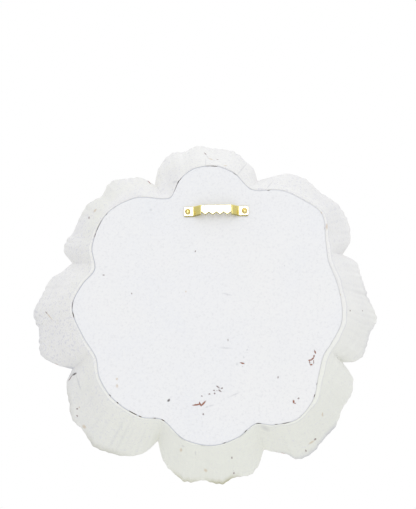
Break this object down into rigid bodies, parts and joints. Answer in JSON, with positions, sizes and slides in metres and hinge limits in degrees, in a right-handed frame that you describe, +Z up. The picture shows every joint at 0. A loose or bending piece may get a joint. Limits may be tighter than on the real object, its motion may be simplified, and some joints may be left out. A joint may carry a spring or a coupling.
{
  "type": "flower wall plaque",
  "caption": "Cast ruffled flower wall plaque, white and worn, with a lobed board let into its flat back and a sawtooth hanger near the top.",
  "frame": {"origin": "middle of the outer face of the hanger's raised strip, where the plaque meets the wall's nail", "axes": "+Z up as hung, +Y out of the back towards the wall, -Y the way the flower faces"},
  "size_m": [0.3304, 0.0678, 0.3335],
  "materials": {
    "flower_paint": "worn white paint over a reddish-brown cast body",
    "board_paint": "matt white paint over fibreboard, with small chips",
    "hanger_brass": "bright brass plate on thin steel sheet",
    "screw_brass": "brass plate, duller in the recess"
  },
  "bodies": {
    "root": {"flower_casting": "flower_paint", "back_panel": "board_paint", "sawtooth_hanger": "hanger_brass", "hanger_screw_left": "screw_brass", "hanger_screw_right": "screw_brass"}
  },
  "joints": []
}
